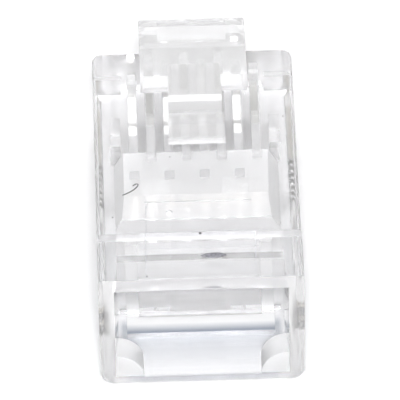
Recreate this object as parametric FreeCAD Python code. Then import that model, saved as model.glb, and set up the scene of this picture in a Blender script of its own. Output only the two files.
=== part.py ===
import FreeCAD, Part
import os
from FreeCAD import Vector

# Clear eight-way modular plug, uncrimped, in millimetres.
# X runs across the plug, +Y towards the nose, +Z towards the latch.
# The origin is the middle of the whole plug's box, at its lowest face.
# "Back" is a distance measured from the nose face towards the cable end.

# ---- housing, outside ----
BODY_WIDTH = 11.68
BODY_LENGTH = 21.46
NOSE_HEIGHT = 6.60
COLLAR_HEIGHT = 7.80
COLLAR_LENGTH = 4.02
NOSE_CORNER_R = 0.60
LOWER_EDGE_R = 0.85
UPPER_EDGE_R = 0.22
COLLAR_EDGE_R = 0.30
NOSE_RELIEF_DEPTH = 0.30
NOSE_RELIEF_HEIGHT = 2.70

# ---- cable cavity ----
SIDE_WALL = 1.09
TOP_WALL = 0.90
FLOOR_WALL = 0.80
ENTRY_SIDE_WALL = 0.89
ENTRY_TOP_WALL = 0.85
ENTRY_FLOOR_WALL = 0.45
ENTRY_FLARE_LENGTH = 2.00
ENTRY_POST_R = 1.60
ENTRY_POST_LENGTH = 1.60
CEILING_RAMP_LENGTH = 1.20
CEILING_RAMP_INSET = 2.06
CEILING_PANEL_BACK = 12.90
CEILING_PANEL_DEPTH = 0.06

# ---- wire block ahead of the cavity ----
BLOCK_BACK = 8.50
BLOCK_WIDTH = 8.40
FUNNEL_LENGTH = 1.20
BLOCK_FACE_FOOT = 2.40
RAMP_FOOT_BACK = 8.85

# ---- wire channels, two staggered rows ----
CONTACT_COUNT = 8
CONTACT_PITCH = 1.02
CHANNEL_WIDTH = 0.58
CHANNEL_HEIGHT = 0.70
CHANNEL_END_BACK = 1.30
UPPER_ROW_HEIGHT = 5.33
LOWER_ROW_HEIGHT = 3.93

# ---- contact blades ----
BLADE_THICKNESS = 0.40
BLADE_FRONT_BACK = 0.60
BLADE_LENGTH = 4.70
BLADE_CORNER_R = 0.50
BLADE_BODY_HEIGHT = 2.30
TINE_COUNT = 2
TINE_GAP = 0.50
TINE_TIP_WIDTH = 0.40
TIP_BELOW_CHANNEL = 0.15
CRIMP_TRAVEL = 0.60
SLOT_SIDE_CLEARANCE = 0.04
SLOT_END_CLEARANCE = 0.06
SLOT_MOUTH_HEIGHT = 2.40

# ---- slim wells beside the wire block ----
WELL_BACK = 5.90
WELL_LENGTH = 2.50
WELL_INNER_X = 4.30
WELL_WIDTH = 0.62
WELL_DEPTH = 3.10

# ---- clamp window and jacket clamp in the floor ----
WINDOW_BACK = 10.90
WINDOW_LENGTH = 7.25
WINDOW_WIDTH = 8.50
CLAMP_BACK = 11.90
CLAMP_LENGTH = 4.35
CLAMP_WIDTH = 7.10
CLAMP_FRONT_HEIGHT = 1.50
CLAMP_NOSE_CHAMFER = 0.45
CLAMP_FLAT_LENGTH = 1.60
CLAMP_EDGE_THICKNESS = 0.34
CLAMP_AXIS_HEIGHT = 0.53
CLAMP_PIN_R = 0.16
CLAMP_PIN_LENGTH = 0.36
PIN_CLEARANCE = 0.04
LUG_HEIGHT = 0.07
LUG_DEPTH = 0.30
OUTER_LUG_WIDTH = 0.92
INNER_LUG_WIDTH = 0.72
LUG_GAP = 0.16

# ---- latch ----
LATCH_WIDTH = 6.17
ROOT_THICKNESS = 0.80
ROOT_TOP = 9.25
ROOT_FRONT_R = 0.70
STUB_HEIGHT = 0.40
WEB_WIDTH = 4.00
WEB_R = 0.38
WEB_AXIS_RISE = 0.30
WEB_CLEARANCE = 0.04
NOTCH_HEIGHT = 0.62
ROOT_CORNER_R = 0.65
SHOULDER_BACK = 7.60
SHOULDER_TOP = 11.15
SHOULDER_FACE = 1.23
NECK_FRONT_BACK = 6.10
NECK_FRONT_WIDTH = 2.95
NECK_END_WIDTH = 3.20
STEP_BACK = 10.60
STEP_TOP = 12.24
STEP_DROP = 0.52
PAD_HOLLOW_LENGTH = 0.75
PAD_HOLLOW_DROP = 0.22
PAD_HOLLOW_BULGE = 0.10
PAD_END_BACK = 14.61
PAD_END_TOP = 12.47
PAD_THICKNESS = 0.52

# ---- sizes that follow from the ones above ----
HALF_WIDTH = BODY_WIDTH / 2
CAVITY_WIDTH = BODY_WIDTH - 2 * SIDE_WALL
ENTRY_WIDTH = BODY_WIDTH - 2 * ENTRY_SIDE_WALL
CEILING = NOSE_HEIGHT - TOP_WALL
ENTRY_CEILING = COLLAR_HEIGHT - ENTRY_TOP_WALL
COLLAR_BACK = BODY_LENGTH - COLLAR_LENGTH
ENTRY_RAMP_BACK = BODY_LENGTH - CEILING_RAMP_INSET
STUB_TOP = NOSE_HEIGHT + STUB_HEIGHT
WEB_AXIS_HEIGHT = STUB_TOP + WEB_AXIS_RISE
WEB_AXIS_BACK = ROOT_THICKNESS / 2
NOTCH_TOP = STUB_TOP + NOTCH_HEIGHT
PLATE_SLOPE = (SHOULDER_TOP - ROOT_TOP) / SHOULDER_BACK
CLAMP_REAR_BACK = CLAMP_BACK + CLAMP_LENGTH
CLAMP_AXIS_BACK = CLAMP_REAR_BACK - CLAMP_EDGE_THICKNESS / 2
CLAMP_EDGE_LOW = CLAMP_AXIS_HEIGHT - CLAMP_EDGE_THICKNESS / 2
CLAMP_EDGE_HIGH = CLAMP_AXIS_HEIGHT + CLAMP_EDGE_THICKNESS / 2
LATCH_UNDER = SHOULDER_TOP - SHOULDER_FACE
OVERSHOOT = 1.0
TOUCH = 1e-3


def point(x, back, height):
    """Return a point given its distance back from the nose face."""
    return Vector(x, BODY_LENGTH / 2 - back, height)


def box(x_low, x_high, back_low, back_high, z_low, z_high):
    """Return an upright box between the given limits."""
    corner = point(x_low, back_high, z_low)
    return Part.makeBox(x_high - x_low, back_high - back_low, z_high - z_low, corner)


def side_prism(outline, width):
    """Extrude an outline of (back, height) points across the plug, centred on X = 0."""
    corners = [point(-width / 2, back, height) for back, height in outline]
    wire = Part.makePolygon(corners + corners[:1])
    return Part.Face(wire).extrude(Vector(width, 0, 0))


def plan_prism(outline, z_low, z_high):
    """Extrude an outline of (x, back) points upwards."""
    corners = [point(x, back, z_low) for x, back in outline]
    wire = Part.makePolygon(corners + corners[:1])
    return Part.Face(wire).extrude(Vector(0, 0, z_high - z_low))


def cross_cylinder(radius, width, back, height):
    """Return a cylinder lying along X, centred on X = 0."""
    return Part.makeCylinder(radius, width, point(-width / 2, back, height), Vector(1, 0, 0))


def edges_where(shape, test):
    """Return the edges whose middle point and direction pass a test."""
    chosen = []
    for edge in shape.Edges:
        middle = edge.valueAt((edge.FirstParameter + edge.LastParameter) / 2)
        span = edge.lastVertex().Point - edge.firstVertex().Point
        if test(middle, span):
            chosen.append(edge)
    return chosen


def runs_along(span, axis):
    """Tell whether an edge's span lies along one axis, given as 0, 1 or 2."""
    others = [abs(span[i]) for i in range(3) if i != axis]
    return max(others) < 1e-6 and abs(span[axis]) > 1e-6


def contact_x(index):
    """Return the X of one contact, counted from 0 on the left."""
    return (index - (CONTACT_COUNT - 1) / 2) * CONTACT_PITCH


def in_upper_row(index):
    """Tell whether a contact serves the upper row of wires."""
    return index % 2 == 1


def channel_height(index):
    """Return the height of the wire channel over one contact."""
    if in_upper_row(index):
        return UPPER_ROW_HEIGHT
    return LOWER_ROW_HEIGHT


def tip_height(index):
    """Return how high one blade's tips reach before crimping."""
    return channel_height(index) - CHANNEL_HEIGHT / 2 - TIP_BELOW_CHANNEL


def outer_block():
    """Return the housing's outside: a low body with a taller collar at the cable end."""
    outline = [
        (0, 0),
        (0, NOSE_HEIGHT),
        (COLLAR_BACK, NOSE_HEIGHT),
        (COLLAR_BACK, COLLAR_HEIGHT),
        (BODY_LENGTH, COLLAR_HEIGHT),
        (BODY_LENGTH, 0),
    ]
    block = side_prism(outline, BODY_WIDTH)
    nose_y = point(0, 0, 0).y - TOUCH
    side = HALF_WIDTH - TOUCH
    nose = edges_where(block, lambda m, s: runs_along(s, 2) and m.y > nose_y)
    block = block.makeFillet(NOSE_CORNER_R, nose)
    lower = edges_where(block, lambda m, s: runs_along(s, 1) and abs(m.x) > side and m.z < TOUCH)
    block = block.makeFillet(LOWER_EDGE_R, lower)
    collar_z = COLLAR_HEIGHT - TOUCH
    collar = edges_where(block, lambda m, s: runs_along(s, 1) and abs(m.x) > side and m.z > collar_z)
    block = block.makeFillet(COLLAR_EDGE_R, collar)
    collar_y = point(0, COLLAR_BACK, 0).y + TOUCH
    upper = edges_where(block, lambda m, s: abs(m.z - NOSE_HEIGHT) < TOUCH and m.y > collar_y)
    return block.makeFillet(UPPER_EDGE_R, upper)


def cavity_prism(front_profile, lift, width):
    """Return one stretch of the cavity up to the entry, its ceiling raised by a lift."""
    ceiling = CEILING + lift
    entry_ceiling = ENTRY_CEILING + lift
    profile = front_profile + [
        (ENTRY_RAMP_BACK - CEILING_RAMP_LENGTH, ceiling),
        (ENTRY_RAMP_BACK, entry_ceiling),
        (BODY_LENGTH + OVERSHOOT, entry_ceiling),
        (BODY_LENGTH + OVERSHOOT, FLOOR_WALL),
    ]
    return side_prism(profile, width)


def cavity_body():
    """Return the cable cavity from the wire block to the cable end."""
    ramp = [(RAMP_FOOT_BACK, FLOOR_WALL), (BLOCK_BACK, BLOCK_FACE_FOOT), (BLOCK_BACK, CEILING)]
    main = cavity_prism(ramp, 0, CAVITY_WIDTH).cut(funnel_cheeks())
    panel_start = [
        (CEILING_PANEL_BACK, FLOOR_WALL),
        (CEILING_PANEL_BACK, CEILING + CEILING_PANEL_DEPTH),
    ]
    panel = cavity_prism(panel_start, CEILING_PANEL_DEPTH, LATCH_WIDTH)
    return main.fuse(panel)


def funnel_cheeks():
    """Return the two wedges that lead the wires from the cavity into the block."""
    cheeks = []
    for side in (-1, 1):
        outline = [
            (side * BLOCK_WIDTH / 2, BLOCK_BACK),
            (side * CAVITY_WIDTH / 2, BLOCK_BACK + FUNNEL_LENGTH),
            (side * HALF_WIDTH, BLOCK_BACK + FUNNEL_LENGTH),
            (side * HALF_WIDTH, BLOCK_BACK - OVERSHOOT),
            (side * BLOCK_WIDTH / 2, BLOCK_BACK - OVERSHOOT),
        ]
        cheeks.append(plan_prism(outline, 0, NOSE_HEIGHT))
    return cheeks[0].fuse(cheeks[1])


def entry_section(back, width, floor):
    """Return the entry's rectangular outline at one depth."""
    half = width / 2
    corners = [
        point(-half, back, floor),
        point(half, back, floor),
        point(half, back, ENTRY_CEILING),
        point(-half, back, ENTRY_CEILING),
    ]
    return Part.makePolygon(corners + corners[:1])


def entry_flare():
    """Return the mouth that widens to the cable end."""
    inner = entry_section(BODY_LENGTH - ENTRY_FLARE_LENGTH, CAVITY_WIDTH, FLOOR_WALL)
    outer = entry_section(BODY_LENGTH, ENTRY_WIDTH, ENTRY_FLOOR_WALL)
    return Part.makeLoft([inner, outer], True)


def entry_post(side):
    """Return the quarter-round post in one lower corner of the entry."""
    foot = point(side * ENTRY_WIDTH / 2, BODY_LENGTH, ENTRY_FLOOR_WALL)
    post = Part.makeCylinder(ENTRY_POST_R, ENTRY_POST_LENGTH, foot, Vector(0, 1, 0))
    return post.common(cavity_body().fuse(entry_flare()))


def wire_channel(index):
    """Return one blind wire channel, open at the back of the block."""
    x = contact_x(index)
    half = CHANNEL_WIDTH / 2
    low = channel_height(index) - CHANNEL_HEIGHT / 2
    rear = BLOCK_BACK + OVERSHOOT
    return box(x - half, x + half, CHANNEL_END_BACK, rear, low, low + CHANNEL_HEIGHT)


def contact_slot(index):
    """Return the slot that one blade slides in, open below and low on the nose."""
    x = contact_x(index)
    half = BLADE_THICKNESS / 2 + SLOT_SIDE_CLEARANCE
    front = BLADE_FRONT_BACK - SLOT_END_CLEARANCE
    rear = BLADE_FRONT_BACK + BLADE_LENGTH + SLOT_END_CLEARANCE
    well = box(x - half, x + half, front, rear, -OVERSHOOT, channel_height(index))
    mouth = box(x - half, x + half, -OVERSHOOT, front, -OVERSHOOT, SLOT_MOUTH_HEIGHT)
    return well.fuse(mouth)


def side_well(side):
    """Return the slim open well on one side of the wire block."""
    low = min(side * WELL_INNER_X, side * (WELL_INNER_X + WELL_WIDTH))
    return box(
        low,
        low + WELL_WIDTH,
        WELL_BACK,
        WELL_BACK + WELL_LENGTH,
        NOSE_HEIGHT - WELL_DEPTH,
        NOSE_HEIGHT + OVERSHOOT,
    )


def nose_relief(side):
    """Return the shallow step low on one side of the nose face."""
    low = min(side * BLOCK_WIDTH / 2, side * (HALF_WIDTH + OVERSHOOT))
    width = HALF_WIDTH + OVERSHOOT - BLOCK_WIDTH / 2
    return box(low, low + width, -OVERSHOOT, NOSE_RELIEF_DEPTH, -OVERSHOOT, NOSE_RELIEF_HEIGHT)


def clamp_window():
    """Return the hole through the floor that the jacket clamp sits in."""
    half = WINDOW_WIDTH / 2
    rear = WINDOW_BACK + WINDOW_LENGTH
    return box(-half, half, WINDOW_BACK, rear, -OVERSHOOT, FLOOR_WALL + OVERSHOOT)


def clamp_pin(clearance):
    """Return the cross pin that the clamp turns on, or with a clearance its bore."""
    reach = WINDOW_WIDTH / 2 + CLAMP_PIN_LENGTH + clearance
    radius = CLAMP_PIN_R + clearance
    return cross_cylinder(radius, 2 * reach, CLAMP_AXIS_BACK, CLAMP_AXIS_HEIGHT)


def web_groove():
    """Return the round groove that the latch's web turns in."""
    return cross_cylinder(
        WEB_R + WEB_CLEARANCE,
        WEB_WIDTH + 2 * WEB_CLEARANCE,
        WEB_AXIS_BACK,
        WEB_AXIS_HEIGHT,
    )


def latch_stub():
    """Return the low stub on the nose that carries the latch."""
    return rounded_plan(ROOT_THICKNESS, NOSE_HEIGHT - ROOT_CORNER_R, STUB_TOP)


def make_housing():
    """Return the clear moulded housing."""
    housing = outer_block().fuse(latch_stub())
    cuts = [web_groove(), cavity_body(), entry_flare(), clamp_window(), clamp_pin(PIN_CLEARANCE)]
    cuts += [wire_channel(i) for i in range(CONTACT_COUNT)]
    cuts += [contact_slot(i) for i in range(CONTACT_COUNT)]
    cuts += [side_well(side) for side in (-1, 1)]
    cuts += [nose_relief(side) for side in (-1, 1)]
    housing = housing.cut(cuts)
    housing = housing.fuse([entry_post(side) for side in (-1, 1)])
    return housing.removeSplitter()


def make_latch():
    """Return the latch: root, wide plate with shoulders, neck and thumb pad."""
    root_under = LATCH_UNDER - PLATE_SLOPE * (SHOULDER_BACK - ROOT_THICKNESS)
    plate = side_prism(
        [
            (0, NOTCH_TOP),
            (0, ROOT_TOP),
            (SHOULDER_BACK, SHOULDER_TOP),
            (SHOULDER_BACK, LATCH_UNDER),
            (ROOT_THICKNESS, root_under),
            (ROOT_THICKNESS, NOTCH_TOP),
        ],
        LATCH_WIDTH,
    )
    bend = edges_where(plate, lambda m, s: runs_along(s, 0) and abs(m.z - ROOT_TOP) < TOUCH)
    plate = plate.makeFillet(ROOT_FRONT_R, bend)
    plate = plate.common(rounded_plan(SHOULDER_BACK, NOSE_HEIGHT, PAD_END_TOP))
    half = WEB_WIDTH / 2
    web_front = WEB_AXIS_BACK - WEB_R
    web_rear = WEB_AXIS_BACK + WEB_R
    web = box(-half, half, web_front, web_rear, WEB_AXIS_HEIGHT, NOTCH_TOP + WEB_R)
    knuckle = cross_cylinder(WEB_R, WEB_WIDTH, WEB_AXIS_BACK, WEB_AXIS_HEIGHT)
    return plate.fuse([web, knuckle, latch_neck()]).removeSplitter()


def rounded_plan(length, z_low, z_high):
    """Return a block of the latch's width with round corners on the nose side."""
    half = LATCH_WIDTH / 2
    block = box(-half, half, 0, length, z_low, z_high)
    front_y = point(0, 0, 0).y - TOUCH
    corners = edges_where(block, lambda m, s: runs_along(s, 2) and m.y > front_y)
    return block.makeFillet(ROOT_CORNER_R, corners)


def latch_neck():
    """Return the neck and thumb pad, from inside the plate to the free end."""
    neck_top = ROOT_TOP + PLATE_SLOPE * NECK_FRONT_BACK
    neck_under = LATCH_UNDER - PLATE_SLOPE * (SHOULDER_BACK - NECK_FRONT_BACK)
    end_under = PAD_END_TOP - PAD_THICKNESS
    step_foot = STEP_TOP - STEP_DROP
    hollow_foot = step_foot - PAD_HOLLOW_DROP
    hollow_back = STEP_BACK + PAD_HOLLOW_LENGTH
    hollow_middle = (step_foot + hollow_foot) / 2 - PAD_HOLLOW_BULGE
    corners = [
        (hollow_back, hollow_foot),
        (PAD_END_BACK, PAD_END_TOP),
        (PAD_END_BACK, end_under),
        (SHOULDER_BACK, LATCH_UNDER),
        (NECK_FRONT_BACK, neck_under),
        (NECK_FRONT_BACK, neck_top),
        (STEP_BACK, STEP_TOP),
        (STEP_BACK, step_foot),
    ]
    x = -NECK_END_WIDTH / 2
    points = [point(x, back, height) for back, height in corners]
    hollow = Part.Arc(
        points[-1],
        point(x, STEP_BACK + PAD_HOLLOW_LENGTH / 2, hollow_middle),
        points[0],
    )
    wire = Part.Wire(Part.makePolygon(points).Edges + [hollow.toShape()])
    blank = Part.Face(wire).extrude(Vector(NECK_END_WIDTH, 0, 0))
    front_half = NECK_FRONT_WIDTH / 2
    end_half = NECK_END_WIDTH / 2
    plan = plan_prism(
        [
            (-front_half, NECK_FRONT_BACK),
            (front_half, NECK_FRONT_BACK),
            (end_half, PAD_END_BACK),
            (-end_half, PAD_END_BACK),
        ],
        NOSE_HEIGHT,
        PAD_END_TOP + OVERSHOOT,
    )
    return blank.common(plan)


def make_jacket_clamp():
    """Return the clamp bar that the crimp presses onto the cable's jacket."""
    outline = [
        (CLAMP_BACK, 0),
        (CLAMP_BACK, CLAMP_FRONT_HEIGHT - CLAMP_NOSE_CHAMFER),
        (CLAMP_BACK + CLAMP_NOSE_CHAMFER, CLAMP_FRONT_HEIGHT),
        (CLAMP_REAR_BACK, CLAMP_EDGE_HIGH),
        (CLAMP_REAR_BACK, CLAMP_EDGE_LOW),
        (CLAMP_BACK + CLAMP_FLAT_LENGTH, 0),
    ]
    bar = side_prism(outline, CLAMP_WIDTH)
    return bar.fuse([clamp_pin(0)] + clamp_lugs()).removeSplitter()


def clamp_lugs():
    """Return the four low lugs along the clamp's rear edge."""
    half = CLAMP_WIDTH / 2
    inner_end = half - OUTER_LUG_WIDTH - LUG_GAP
    spans = [(half - OUTER_LUG_WIDTH, half), (inner_end - INNER_LUG_WIDTH, inner_end)]
    spans += [(-high, -low) for low, high in spans]
    front = CLAMP_REAR_BACK - LUG_DEPTH
    top = CLAMP_EDGE_HIGH + LUG_HEIGHT
    return [
        box(low, high, front, CLAMP_REAR_BACK, CLAMP_AXIS_HEIGHT, top)
        for low, high in spans
    ]


def make_contact(index):
    """Return one blade: a flat body with two piercing tines, its lower front corner round."""
    rear = BLADE_FRONT_BACK + BLADE_LENGTH
    tine_width = (BLADE_LENGTH - TINE_GAP * (TINE_COUNT - 1)) / TINE_COUNT
    tip = tip_height(index)
    outline = [(BLADE_FRONT_BACK, 0)]
    for tine in range(TINE_COUNT):
        start = BLADE_FRONT_BACK + tine * (tine_width + TINE_GAP)
        middle = start + tine_width / 2
        outline.append((start, BLADE_BODY_HEIGHT))
        outline.append((middle - TINE_TIP_WIDTH / 2, tip))
        outline.append((middle + TINE_TIP_WIDTH / 2, tip))
        outline.append((start + tine_width, BLADE_BODY_HEIGHT))
    outline.append((rear, 0))
    blade = side_prism(outline, BLADE_THICKNESS)
    front_y = point(0, BLADE_FRONT_BACK, 0).y - TOUCH
    corner = edges_where(blade, lambda m, s: runs_along(s, 0) and m.z < TOUCH and m.y > front_y)
    blade = blade.makeFillet(BLADE_CORNER_R, corner)
    blade.translate(Vector(contact_x(index), 0, 0))
    return blade


def main():
    """Build every node and write its file."""
    os.makedirs("parts", exist_ok=True)
    nodes = {
        "housing": make_housing(),
        "latch": make_latch(),
        "jacket_clamp": make_jacket_clamp(),
    }
    for index in range(CONTACT_COUNT):
        nodes["contact_%d" % (index + 1)] = make_contact(index)
    for name, shape in nodes.items():
        shape.exportStep("parts/%s.step" % name)
        print(name, shape.isValid(), len(shape.Solids), round(shape.Volume, 3))


main()
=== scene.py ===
"""Dress the clear eight-way modular plug and set it in a pale studio, with light and shade painted
on the table under it.
"""
import logging
import math
from dataclasses import dataclass
from enum import Enum
from typing import Iterable

import bmesh
import bpy
from mathutils import Matrix, Vector


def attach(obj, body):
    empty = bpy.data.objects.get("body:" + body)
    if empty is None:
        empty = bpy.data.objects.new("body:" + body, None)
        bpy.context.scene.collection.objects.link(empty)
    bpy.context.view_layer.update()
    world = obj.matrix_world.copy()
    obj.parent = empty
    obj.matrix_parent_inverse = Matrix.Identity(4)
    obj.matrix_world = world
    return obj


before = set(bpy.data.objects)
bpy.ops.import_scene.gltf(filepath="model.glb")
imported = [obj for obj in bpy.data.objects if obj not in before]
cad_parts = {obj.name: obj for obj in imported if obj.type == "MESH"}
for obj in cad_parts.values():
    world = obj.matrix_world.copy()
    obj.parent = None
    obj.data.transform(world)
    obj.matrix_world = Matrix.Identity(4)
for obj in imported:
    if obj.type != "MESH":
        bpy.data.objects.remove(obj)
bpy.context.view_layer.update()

LOG = logging.getLogger("modular_plug")
MM = 0.001

Colour = tuple[float, float, float]
Span = tuple[float, float]
Limits = tuple[Span, Span, Span]
Path = tuple[tuple[float, float], ...]

# The matt walls of the wire block and its funnel: their X, Y and Z limits.
BLOCK_INSIDE: Limits = (
    (-4.80 * MM, 4.80 * MM),
    (0.90 * MM, 10.3 * MM),
    (0.15 * MM, 5.68 * MM),
)
# The most matt walls: the block's face with its ramp and cheeks, and the two corner posts.
MATT_WALLS: tuple[Limits, ...] = (
    ((-4.80 * MM, 4.80 * MM), (1.00 * MM, 2.35 * MM), (0.84 * MM, 5.68 * MM)),
    ((-4.98 * MM, -3.30 * MM), (-10.80 * MM, -9.08 * MM), (0.48 * MM, 2.15 * MM)),
    ((3.30 * MM, 4.98 * MM), (-10.80 * MM, -9.08 * MM), (0.48 * MM, 2.15 * MM)),
)
# The two levels that the dirt and the dark patch of painted shade lie on.
BODY_TOP = 6.6 * MM
COLLAR_TOP = 7.8 * MM


class Body(Enum):
    """The mouldings of the plug, each a body of its own."""

    HOUSING = "housing"
    LATCH = "latch"
    CLAMP = "jacket_clamp"


def rgba(colour: Colour) -> tuple[float, float, float, float]:
    """Give a colour its full alpha."""
    return (*colour, 1.0)


class Graph:
    """A small builder for one material's node tree."""

    def __init__(self, name: str) -> None:
        """Start an empty material.

        Args:
            name: the material's name.
        """
        self.material: bpy.types.Material = bpy.data.materials.new(name)
        self.material.use_nodes = True
        self.tree: bpy.types.NodeTree = self.material.node_tree
        self.tree.nodes.clear()

    def node(self, kind: str, **sockets: object) -> bpy.types.Node:
        """Add a node and set its inputs.

        Args:
            kind: the node's type name, without its ShaderNode prefix.
            sockets: a value or an output socket for each input, by name, with _ for a space.

        Returns:
            The new node.
        """
        made = self.tree.nodes.new("ShaderNode" + kind)
        for key, value in sockets.items():
            self.feed(made.inputs[key.replace("_", " ")], value)
        return made

    def feed(self, socket: bpy.types.NodeSocket, value: object) -> None:
        """Link a socket to an output, or set its value.

        Args:
            socket: the input to fill.
            value: an output socket, or a plain value.
        """
        if isinstance(value, bpy.types.NodeSocket):
            self.tree.links.new(value, socket)
        else:
            socket.default_value = value

    def place(self) -> bpy.types.NodeSocket:
        """Return the piece's own coordinates, in metres."""
        return self.node("TexCoord").outputs["Object"]

    def along(self, axis: str) -> bpy.types.NodeSocket:
        """Return the piece's own X, Y or Z coordinate, in metres."""
        return self.node("SeparateXYZ", Vector=self.place()).outputs[axis]

    def noise(self, scale: float, detail: float) -> bpy.types.NodeSocket:
        """Add a noise on the piece's own coordinates.

        Args:
            scale: the number of features in one metre.
            detail: how many finer layers it has.

        Returns:
            The noise's value, between 0 and 1.
        """
        return self.node("TexNoise", Vector=self.place(), Scale=scale, Detail=detail).outputs[0]

    def ranged(
        self, value: bpy.types.NodeSocket, source: Span, target: Span = (0.0, 1.0)
    ) -> bpy.types.NodeSocket:
        """Carry a value from one range to another, and clamp it there.

        Args:
            value: the value to carry.
            source: the range that it comes in.
            target: the range that it leaves in.

        Returns:
            The new value.
        """
        made = self.node("MapRange", Value=value)
        made.inputs["From Min"].default_value = source[0]
        made.inputs["From Max"].default_value = source[1]
        made.inputs["To Min"].default_value = target[0]
        made.inputs["To Max"].default_value = target[1]
        return made.outputs[0]

    def band(self, value: bpy.types.NodeSocket, span: Span, soft: float) -> bpy.types.NodeSocket:
        """Mark where a value lies between two limits.

        Args:
            value: the value to test.
            span: the lower and the upper limit.
            soft: how far inside each limit the mark reaches its full strength.

        Returns:
            1 between the limits, 0 outside them.
        """
        low, high = span
        rise = self.ranged(value, (low, low + soft))
        fall = self.ranged(value, (high - soft, high), (1.0, 0.0))
        return self.math("MULTIPLY", rise, fall)

    def math(self, operation: str, first: object, second: object = 0.0) -> bpy.types.NodeSocket:
        """Combine two values.

        Args:
            operation: the Math node's operation.
            first: the first value or socket.
            second: the second value or socket.

        Returns:
            The result.
        """
        made = self.tree.nodes.new("ShaderNodeMath")
        made.operation = operation
        self.feed(made.inputs[0], first)
        self.feed(made.inputs[1], second)
        return made.outputs[0]

    def blend(self, share: object, low: object, high: object) -> bpy.types.NodeSocket:
        """Mix two colours.

        Args:
            share: how much of the second colour shows, 0 to 1.
            low: the first colour, plain or from an output socket.
            high: the second colour, plain or from an output socket.

        Returns:
            The mixed colour.
        """
        made = self.tree.nodes.new("ShaderNodeMix")
        made.data_type = "RGBA"
        self.feed(made.inputs[0], share)
        for index, colour in ((6, low), (7, high)):
            plain = isinstance(colour, tuple)
            self.feed(made.inputs[index], rgba(colour) if plain else colour)
        return made.outputs[2]

    def layer(
        self,
        share: bpy.types.NodeSocket,
        first: bpy.types.NodeSocket,
        second: bpy.types.NodeSocket,
    ) -> bpy.types.NodeSocket:
        """Mix two shaders.

        Args:
            share: how much of the second shader shows, 0 to 1.
            first: the first shader.
            second: the second shader.

        Returns:
            The mixed shader.
        """
        made = self.tree.nodes.new("ShaderNodeMixShader")
        for index, value in enumerate((share, first, second)):
            self.feed(made.inputs[index], value)
        return made.outputs[0]

    def output(self, surface: bpy.types.NodeSocket) -> bpy.types.Material:
        """Close the material with its surface shader.

        Args:
            surface: the shader socket to show.

        Returns:
            The finished material.
        """
        self.node("OutputMaterial", Surface=surface)
        return self.material


@dataclass(frozen=True)
class ClearPlastic:
    """Clear moulded polycarbonate: very faint cool tint, flow marks and fine handling haze."""

    name: str
    tint_low: Colour = (0.977, 0.976, 0.981)
    tint_high: Colour = (0.988, 0.987, 0.990)
    clearness: float = 0.90
    matt_clearness: float = 0.80
    face_clearness: float = 0.73
    ior: float = 1.585
    roughness: Span = (0.015, 0.06)
    frosted: bool = False
    frost: float = 0.16
    face_frost: float = 0.45
    flow_scale: float = 700.0
    flow_detail: float = 3.0
    flow_span: Span = (0.3, 0.7)
    haze_scale: float = 2600.0
    haze_detail: float = 4.0
    haze_span: Span = (0.35, 0.75)
    ripple_height: float = 2.0e-6
    ripple_strength: float = 0.15
    matt_edge: float = 0.05 * MM
    level_span: Span = (0.1, 0.8)
    face_shadow: Colour = (0.56, 0.56, 0.57)
    edge_shadow: Colour = (0.20, 0.20, 0.21)

    def material(self) -> bpy.types.Material:
        """Build the plastic's node tree.

        Returns:
            The finished material.
        """
        graph = Graph(self.name)
        flow = graph.noise(self.flow_scale, self.flow_detail)
        haze = graph.noise(self.haze_scale, self.haze_detail)
        tint = graph.blend(graph.ranged(flow, self.flow_span), self.tint_low, self.tint_high)
        rough = graph.ranged(haze, self.haze_span, self.roughness)
        clear: object = self.clearness
        if self.frosted:
            block = self.inside(graph, BLOCK_INSIDE)
            matt: object = 0.0
            for limits in MATT_WALLS:
                matt = graph.math("MAXIMUM", matt, self.inside(graph, limits))
            rough = graph.math("MAXIMUM", rough, graph.math("MULTIPLY", block, self.frost))
            rough = graph.math("MAXIMUM", rough, graph.math("MULTIPLY", matt, self.face_frost))
            clear = graph.math(
                "MINIMUM",
                graph.ranged(block, (0.0, 1.0), (self.clearness, self.matt_clearness)),
                graph.ranged(matt, (0.0, 1.0), (self.clearness, self.face_clearness)),
            )
        bump = graph.node(
            "Bump", Height=flow, Strength=self.ripple_strength, Distance=self.ripple_height
        )
        shell = graph.node(
            "BsdfPrincipled",
            Base_Color=tint,
            Roughness=rough,
            IOR=self.ior,
            Normal=bump.outputs[0],
            Transmission_Weight=clear,
        )
        veil = graph.node("BsdfTransparent", Color=self.shadow(graph))
        for_lamp = graph.node("LightPath").outputs["Is Shadow Ray"]
        return graph.output(graph.layer(for_lamp, shell.outputs[0], veil.outputs[0]))

    def shadow(self, graph: Graph) -> bpy.types.NodeSocket:
        """Let the lamp through the level walls, and less through the upright edges.

        Args:
            graph: the material being built.

        Returns:
            The colour that the walls give to the lamp's light.
        """
        parts = graph.node("SeparateXYZ", Vector=graph.node("NewGeometry").outputs["True Normal"])
        level = graph.math("ABSOLUTE", parts.outputs["Z"])
        return graph.blend(graph.ranged(level, self.level_span), self.edge_shadow, self.face_shadow)

    def inside(self, graph: Graph, limits: Limits) -> bpy.types.NodeSocket:
        """Mark the walls that lie inside a box, where the moulding is matt.

        Args:
            graph: the material being built.
            limits: the box's X, Y and Z limits, in metres.

        Returns:
            1 inside the box, 0 elsewhere.
        """
        share: object = 1.0
        for axis, span in zip("XYZ", limits):
            mark = graph.band(graph.along(axis), span, self.matt_edge)
            share = graph.math("MULTIPLY", share, mark)
        return share


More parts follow.
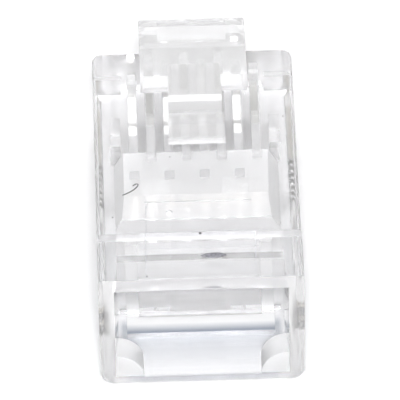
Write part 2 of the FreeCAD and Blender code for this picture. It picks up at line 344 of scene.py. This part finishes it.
@dataclass(frozen=True)
class BladeMetal:
    """Nickel-plated blade with a gold flash on its mating edge."""

    name: str
    nickel: Colour = (0.84, 0.84, 0.82)
    nickel_worn: Colour = (0.79, 0.79, 0.76)
    gold: Colour = (0.80, 0.76, 0.67)
    gold_top: float = 0.6 * MM
    gold_fade: float = 0.12 * MM
    roughness: Span = (0.28, 0.33)
    grain_scale: float = 1800.0
    grain_detail: float = 2.0
    worn_span: Span = (0.35, 0.7)
    rough_span: Span = (0.3, 0.7)

    def material(self) -> bpy.types.Material:
        """Build the blade's node tree.

        Returns:
            The finished material.
        """
        graph = Graph(self.name)
        grain = graph.noise(self.grain_scale, self.grain_detail)
        plate = graph.blend(graph.ranged(grain, self.worn_span), self.nickel, self.nickel_worn)
        high = graph.ranged(graph.along("Z"), (self.gold_top, self.gold_top + self.gold_fade))
        shell = graph.node(
            "BsdfPrincipled",
            Base_Color=graph.blend(high, self.gold, plate),
            Roughness=graph.ranged(grain, self.rough_span, self.roughness),
            Metallic=1.0,
        )
        return graph.output(shell.outputs[0])


@dataclass(frozen=True)
class PaleFloor:
    """Matt white table, with a painted pool of light and a painted shaded strip under the clear
    plug.

    It glows slightly for the camera, to meet the white backdrop.
    """

    name: str = "pale_floor"
    colour: Colour = (0.68, 0.68, 0.685)
    pool_rear: Colour = (0.955, 0.975, 1.0)
    pool_front: Colour = (1.0, 0.985, 0.99)
    shade: Colour = (0.36, 0.40, 0.47)
    shade_start: float = -5.7 * MM
    shade_deepest: float = -6.4 * MM
    shade_end: float = -10.2 * MM
    shade_x: Span = (-4.75 * MM, 4.75 * MM)
    shade_fade: float = 0.3 * MM
    pool_lift: float = 0.19
    direct_lift: float = 0.12
    pool_x: Span = (-5.9 * MM, 5.9 * MM)
    pool_y: Span = (-10.9 * MM, 13.0 * MM)
    pool_fade: float = 0.6 * MM
    pool_turn: Span = (-4.0 * MM, 2.0 * MM)
    drop: float = 0.02 * MM

    def material(self) -> bpy.types.Material:
        """Build the floor's node tree.

        Returns:
            The finished material.
        """
        graph = Graph(self.name)
        # Painted light and shade: a glowing pool and a darker strip are put into the table's own
        # material.
        pool = self.pool_share(graph)
        shaded = graph.math("MULTIPLY", self.shade_share(graph), pool)
        deep = tuple(paint * dim for paint, dim in zip(self.colour, self.shade))
        matt = graph.node("BsdfDiffuse", Color=graph.blend(shaded, self.colour, deep))
        both = graph.node("AddShader")
        graph.feed(both.inputs[0], matt.outputs[0])
        graph.feed(both.inputs[1], self.glow(graph, pool, shaded))
        return graph.output(both.outputs[0])

    def glow(
        self, graph: Graph, pool: bpy.types.NodeSocket, shaded: bpy.types.NodeSocket
    ) -> bpy.types.NodeSocket:
        """Paint the pool's light for views through the plug, and light the table slightly for the
        camera.

        Args:
            graph: the material being built.
            pool: the pool's share, 0 to 1.
            shaded: the shaded strip's share, 0 to 1.

        Returns:
            The glow's shader.
        """
        path = graph.node("LightPath").outputs
        bent = graph.math("MAXIMUM", path["Is Glossy Ray"], path["Is Transmission Ray"])
        through = graph.math("MULTIPLY", bent, graph.math("MULTIPLY", pool, self.pool_lift))
        direct = graph.math("MULTIPLY", path["Is Camera Ray"], self.direct_lift)
        lift = graph.math("MAXIMUM", through, direct)
        dimmed = graph.ranged(shaded, (0.0, 1.0), (1.0, self.shade[1]))
        front = graph.ranged(graph.along("Y"), self.pool_turn)
        tone = graph.blend(front, self.pool_rear, self.pool_front)
        strength = graph.math("MULTIPLY", lift, dimmed)
        return graph.node("Emission", Color=tone, Strength=strength).outputs[0]

    def shade_share(self, graph: Graph) -> bpy.types.NodeSocket:
        """Mark the strip of painted shade on the table at the cable end's floor, between the side
        walls.

        Args:
            graph: the material being built.

        Returns:
            1 in the deepest shade, 0 outside it.
        """
        y = graph.along("Y")
        rise = graph.ranged(y, (self.shade_start, self.shade_deepest))
        fall = graph.ranged(y, (self.shade_end, self.shade_deepest))
        across = graph.band(graph.along("X"), self.shade_x, self.shade_fade)
        return graph.math("MULTIPLY", graph.math("MULTIPLY", rise, fall), across)

    def pool_share(self, graph: Graph) -> bpy.types.NodeSocket:
        """Mark the painted pool of light on the table under the clear plug.

        Args:
            graph: the material being built.

        Returns:
            1 under the plug, 0 away from it.
        """
        across = graph.band(graph.along("X"), self.pool_x, self.pool_fade)
        lengthwise = graph.band(graph.along("Y"), self.pool_y, self.pool_fade)
        return graph.math("MULTIPLY", across, lengthwise)


@dataclass
class Studio:
    """Pale table, white surround and one soft lamp."""

    floor_half: float = 0.6
    sky: float = 0.86
    key_elevation: float = math.radians(45.0)
    key_distance: float = 0.60
    key_size: float = 0.06
    key_power: float = 3.2
    key_aim: tuple[float, float, float] = (0.0, 0.0, 0.004)

    def build(self) -> None:
        """Make the floor, the world and the lamp."""
        self.build_floor()
        self.build_world()
        self.build_lamp()

    def build_floor(self) -> None:
        """Make the pale table under the plug."""
        shape = bmesh.new()
        bmesh.ops.create_grid(shape, x_segments=1, y_segments=1, size=self.floor_half)
        finish = PaleFloor()
        bmesh.ops.translate(shape, vec=(0.0, 0.0, -finish.drop), verts=shape.verts)
        mesh = bpy.data.meshes.new("pale_table")
        shape.to_mesh(mesh)
        shape.free()
        table = bpy.data.objects.new("pale_table", mesh)
        bpy.context.collection.objects.link(table)
        mesh.materials.append(finish.material())

    def build_world(self) -> None:
        """Light the plug from a white surround, which the camera sees as pure white."""
        world = bpy.data.worlds.new("white_surround")
        bpy.context.scene.world = world
        world.cycles.sampling_method = "NONE"
        world.use_nodes = True
        tree = world.node_tree
        tree.nodes.clear()
        nodes, links = tree.nodes, tree.links
        path = nodes.new("ShaderNodeLightPath")
        pick = nodes.new("ShaderNodeMix")
        pick.data_type = "FLOAT"
        links.new(path.outputs["Is Camera Ray"], pick.inputs[0])
        pick.inputs[2].default_value = self.sky
        pick.inputs[3].default_value = 1.0
        back = nodes.new("ShaderNodeBackground")
        back.inputs["Color"].default_value = (1.0, 1.0, 1.0, 1.0)
        links.new(pick.outputs[0], back.inputs["Strength"])
        out = nodes.new("ShaderNodeOutputWorld")
        links.new(back.outputs[0], out.inputs["Surface"])

    def build_lamp(self) -> None:
        """Hang one square softbox on the cable end's side, facing the plug."""
        light = bpy.data.lights.new("key_softbox", "AREA")
        light.shape = "SQUARE"
        light.size = self.key_size
        light.energy = self.key_power
        level = self.key_distance * math.cos(self.key_elevation)
        height = self.key_distance * math.sin(self.key_elevation)
        lamp = bpy.data.objects.new("key_softbox", light)
        lamp.location = (0.0, -level, height)
        aim = Vector(self.key_aim) - lamp.location
        lamp.rotation_euler = aim.to_track_quat("-Z", "Y").to_euler()
        bpy.context.collection.objects.link(lamp)


@dataclass
class PlugCamera:
    """Long lens that looks down on the cable end."""

    azimuth: float = math.radians(0.872)
    elevation: float = math.radians(41.085)
    roll: float = math.radians(-1.084)
    distance: float = 0.45905
    target: tuple[float, float, float] = (0.0, 0.0, 0.005)
    aim_right: float = 0.19 * MM
    aim_down: float = 0.49 * MM
    lens: float = 715.7
    sensor: float = 36.0
    near: float = 0.01
    far: float = 10.0

    def build(self) -> bpy.types.Object:
        """Make the camera and hand it to the scene.

        Returns:
            The camera object.
        """
        data = bpy.data.cameras.new("bench_camera")
        data.lens = self.lens
        data.sensor_width = self.sensor
        data.clip_start = self.near
        data.clip_end = self.far
        camera = bpy.data.objects.new("bench_camera", data)
        bpy.context.collection.objects.link(camera)
        azimuth, elevation = self.azimuth, self.elevation
        back = Vector((
            -math.sin(azimuth) * math.cos(elevation),
            -math.cos(azimuth) * math.cos(elevation),
            math.sin(elevation),
        ))
        level = Vector((math.cos(azimuth), -math.sin(azimuth), 0.0))
        rise = back.cross(level)
        right = level * math.cos(self.roll) + rise * math.sin(self.roll)
        upward = -level * math.sin(self.roll) + rise * math.cos(self.roll)
        place = Vector(self.target) + back * self.distance
        place += right * self.aim_right - upward * self.aim_down
        turn = Matrix((right, upward, back)).transposed().to_4x4()
        camera.matrix_world = Matrix.Translation(place) @ turn
        bpy.context.scene.camera = camera
        return camera


def dress(node: str, material: bpy.types.Material) -> bpy.types.Object:
    """Give one carried-over node its finish.

    Args:
        node: the node's name in the frame.
        material: the finish to wear.

    Returns:
        The node's object.
    """
    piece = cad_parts[node]
    for slot in piece.material_slots:
        slot.material = material
    return piece


@dataclass
class ClearMouldings:
    """Housing, latch and jacket clamp, all of one clear plastic."""

    def build(self) -> Iterable[str]:
        """Dress the three mouldings.

        Returns:
            The nodes that were dressed.
        """
        finishes = {
            Body.HOUSING: ClearPlastic("clear_housing_plastic", frosted=True),
            Body.LATCH: ClearPlastic(
                "clear_latch_plastic", clearness=0.80, roughness=(0.04, 0.08)
            ),
            Body.CLAMP: ClearPlastic("clear_clamp_plastic"),
        }
        return [dress(body.value, finish.material()).name for body, finish in finishes.items()]


@dataclass
class ContactRow:
    """The eight blades."""

    count: int = 8

    def build(self) -> Iterable[str]:
        """Dress the blades.

        Returns:
            The nodes that were dressed.
        """
        metal = BladeMetal("blade_plating").material()
        names = [f"contact_{i}" for i in range(1, self.count + 1)]
        for name in names:
            dress(name, metal)
        return names


@dataclass(frozen=True)
class LintAndShadeFinish:
    """Dusty fibre or grit, mottled along its length; also the finish of the dark patch of painted
    shade.
    """

    name: str
    dark: Colour = (0.030, 0.030, 0.034)
    pale: Colour = (0.090, 0.088, 0.090)
    rough: float = 0.75
    mottle_scale: float = 9000.0
    mottle_detail: float = 3.0
    mottle_span: Span = (0.35, 0.65)

    def material(self) -> bpy.types.Material:
        """Build the lint's node tree.

        Returns:
            The finished material.
        """
        graph = Graph(self.name)
        grain = graph.noise(self.mottle_scale, self.mottle_detail)
        mottle = graph.ranged(grain, self.mottle_span)
        shell = graph.node(
            "BsdfPrincipled",
            Base_Color=graph.blend(mottle, self.dark, self.pale),
            Roughness=self.rough,
        )
        return graph.output(shell.outputs[0])


@dataclass(frozen=True)
class Strand:
    """One thin line of lint or one fine scratch, lying on the housing.

    Its path is in millimetres, X and Y; its height and radius are in metres.
    """

    name: str
    path: Path
    height: float
    radius: float
    finish: LintAndShadeFinish
    steps: int = 5
    sides: int = 8
    tip_share: float = 0.35

    def smooth_path(self) -> list[Vector]:
        """Round the path's corners.

        Returns:
            The points of the rounded line, in metres.
        """
        ends = [self.path[0], *self.path, self.path[-1]]
        line: list[Vector] = []
        for before, start, end, after in zip(ends, ends[1:], ends[2:], ends[3:]):
            for step in range(self.steps):
                share = step / self.steps
                spot = [
                    0.5 * (
                        2 * b
                        + (c - a) * share
                        + (2 * a - 5 * b + 4 * c - d) * share**2
                        + (3 * b - a - 3 * c + d) * share**3
                    )
                    for a, b, c, d in zip(before, start, end, after)
                ]
                line.append(Vector((spot[0] * MM, spot[1] * MM, self.height)))
        line.append(Vector((self.path[-1][0] * MM, self.path[-1][1] * MM, self.height)))
        return line

    def build(self) -> bpy.types.Object:
        """Sweep a thin round section along the line.

        Returns:
            The strand.
        """
        line = self.smooth_path()
        shape = bmesh.new()
        made = bmesh.ops.create_circle(
            shape, cap_ends=True, segments=self.sides, radius=self.radius
        )
        section = [vert.co.copy() for vert in made["verts"]]
        verts = made["verts"]
        face = verts[0].link_faces[0]
        last = len(line) - 1
        for index, spot in enumerate(line):
            if index:
                grown = bmesh.ops.extrude_discrete_faces(shape, faces=[face])
                face = grown["faces"][0]
                verts = list(face.verts)
            along = line[min(index + 1, last)] - line[max(index - 1, 0)]
            turn = along.to_track_quat("Z", "Y").to_matrix()
            thin = self.tip_share if index in (0, last) else 1.0
            for vert, corner in zip(verts, section):
                vert.co = spot + turn @ (corner * thin)
        bmesh.ops.recalc_face_normals(shape, faces=shape.faces)
        return piece_from(shape, self.name, self.finish.material())


@dataclass(frozen=True)
class GritAndShadePatch:
    """One small flat grain of dirt on the housing; drawn out, it is the dark patch of painted
    shade.

    Its spot is in millimetres, X and Y; its height and radius are in metres.
    """

    name: str
    spot: tuple[float, float]
    height: float
    radius: float
    finish: LintAndShadeFinish
    length: float = 1.0
    flatness: float = 0.35
    unevenness: float = 0.22
    wobble: float = 2.7

    def build(self) -> bpy.types.Object:
        """Shape an uneven, flattened grain, drawn out into a longer patch where its length is over
        1.

        Returns:
            The grain.
        """
        shape = bmesh.new()
        made = bmesh.ops.create_icosphere(shape, subdivisions=2, radius=self.radius)
        for index, vert in enumerate(made["verts"]):
            uneven = 1.0 + self.unevenness * math.sin(self.wobble * index)
            vert.co = Vector((
                vert.co.x * uneven * self.length,
                vert.co.y / uneven,
                vert.co.z * self.flatness / self.length,
            ))
        place = Vector((self.spot[0] * MM, self.spot[1] * MM, self.height))
        bmesh.ops.translate(shape, vec=place, verts=shape.verts)
        bmesh.ops.recalc_face_normals(shape, faces=shape.faces)
        return piece_from(shape, self.name, self.finish.material())


def piece_from(
    shape: bmesh.types.BMesh, name: str, material: bpy.types.Material
) -> bpy.types.Object:
    """Turn a finished shape into an object that rides on the housing.

    Args:
        shape: the shape, which is freed.
        name: the piece's name.
        material: its finish.

    Returns:
        The new object.
    """
    mesh = bpy.data.meshes.new(name)
    shape.to_mesh(mesh)
    shape.free()
    mesh.materials.append(material)
    for polygon in mesh.polygons:
        polygon.use_smooth = True
    made = bpy.data.objects.new(name, mesh)
    bpy.context.collection.objects.link(made)
    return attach(made, Body.HOUSING.value)


@dataclass
class HandlingDirtAndShade:
    """A curled fibre, a few specks of grit and fine scratches on the housing's top, and a dark
    patch of painted shade on the collar.
    """

    lift: float = 0.015 * MM
    score_radius: float = 0.016 * MM
    fibre: LintAndShadeFinish = LintAndShadeFinish("dark_fibre")
    grain: LintAndShadeFinish = LintAndShadeFinish("dark_grit", dark=(0.020, 0.020, 0.022), pale=(0.060, 0.056, 0.052))
    # Painted shade: the finish of a dark patch laid on the collar to stand for shade seen through
    # the plug, not for dirt.
    shade_mark: LintAndShadeFinish = LintAndShadeFinish("painted_shade_patch", dark=(0.09, 0.09, 0.10), pale=(0.34, 0.34, 0.38))
    pale: LintAndShadeFinish = LintAndShadeFinish("pale_fibre", dark=(0.40, 0.40, 0.43), pale=(0.50, 0.50, 0.53))
    score: LintAndShadeFinish = LintAndShadeFinish("score_line", dark=(0.26, 0.27, 0.30), pale=(0.80, 0.81, 0.84))
    hook: Path = (
        (-4.3, -2.0), (-4.0, -1.83), (-3.7, -1.6), (-3.47, -1.33),
        (-3.38, -1.12), (-3.48, -1.04), (-3.7, -1.2),
    )
    curl: Path = ((-1.85, -3.6), (-1.7, -3.46), (-1.55, -3.48), (-1.45, -3.62))
    left_score: Path = ((-2.95, -2.2), (-3.0, -4.4), (-3.04, -6.6))
    left_rear_score: Path = ((-3.04, -6.8), (-3.12, -10.4))
    right_score: Path = ((3.2, -6.9), (3.11, -10.2))

    def strands(self, body: float, collar: float) -> list[Strand]:
        """List the fibres and the scratches.

        Args:
            body: the height of those on the body, in metres.
            collar: the height of those on the collar, in metres.

        Returns:
            The strands, not yet built.
        """
        thin = self.score_radius
        return [
            Strand("curled_fibre", self.hook, body, 0.032 * MM, self.fibre),
            Strand("small_curl", self.curl, body, 0.026 * MM, self.pale),
            Strand("score_left", self.left_score, body, thin, self.score),
            Strand("score_left_rear", self.left_rear_score, collar, thin, self.score),
            Strand("score_right", self.right_score, collar, thin, self.score),
        ]

    def grains_and_shade_patch(self, body: float, collar: float) -> list[GritAndShadePatch]:
        """List the specks of grit and the dark patch of painted shade.

        Args:
            body: the height of those on the body, in metres.
            collar: the height of those on the collar, in metres.

        Returns:
            The specks and the patch, not yet built.
        """
        return [
            GritAndShadePatch("grit_middle", (0.05, -6.85), collar, 0.08 * MM, self.grain),
            GritAndShadePatch("grit_left", (-4.9, -3.9), body, 0.045 * MM, self.grain),
            GritAndShadePatch("grit_right", (5.15, 4.6), body, 0.045 * MM, self.grain),
            GritAndShadePatch("grit_front", (-1.5, 1.25), body, 0.04 * MM, self.grain),
            GritAndShadePatch("grit_collar", (-3.05, -10.4), collar, 0.045 * MM, self.grain),
            # Painted shade: a dark patch drawn out on the collar where shade shows through the
            # plug.
            GritAndShadePatch("painted_shade_patch", (0.77, -8.76), collar, 0.22 * MM, self.shade_mark, length=3.1),
        ]

    def build(self) -> Iterable[str]:
        """Lay the dirt on the housing.

        Returns:
            Lay the dirt and the dark patch of painted shade on the housing.
        """
        levels = (BODY_TOP + self.lift, COLLAR_TOP + self.lift)
        pieces = self.strands(*levels) + self.grains_and_shade_patch(*levels)
        return [piece.build().name for piece in pieces]


def set_light_paths() -> None:
    """Let light pass through the plug's many clear walls."""
    cycles = bpy.context.scene.cycles
    cycles.max_bounces = 48
    cycles.transmission_bounces = 48
    cycles.transparent_max_bounces = 24
    cycles.glossy_bounces = 32
    cycles.diffuse_bounces = 12


def main() -> None:
    """Build the studio and dress the plug."""
    logging.basicConfig(level=logging.INFO, format="%(message)s")
    bpy.context.scene.view_settings.view_transform = "Standard"
    set_light_paths()
    Studio().build()
    PlugCamera().build()
    for part in (ClearMouldings(), ContactRow(), HandlingDirtAndShade()):
        for name in part.build():
            LOG.info("%s: %s", type(part).__name__, name)


if __name__ == "__main__":
    main()
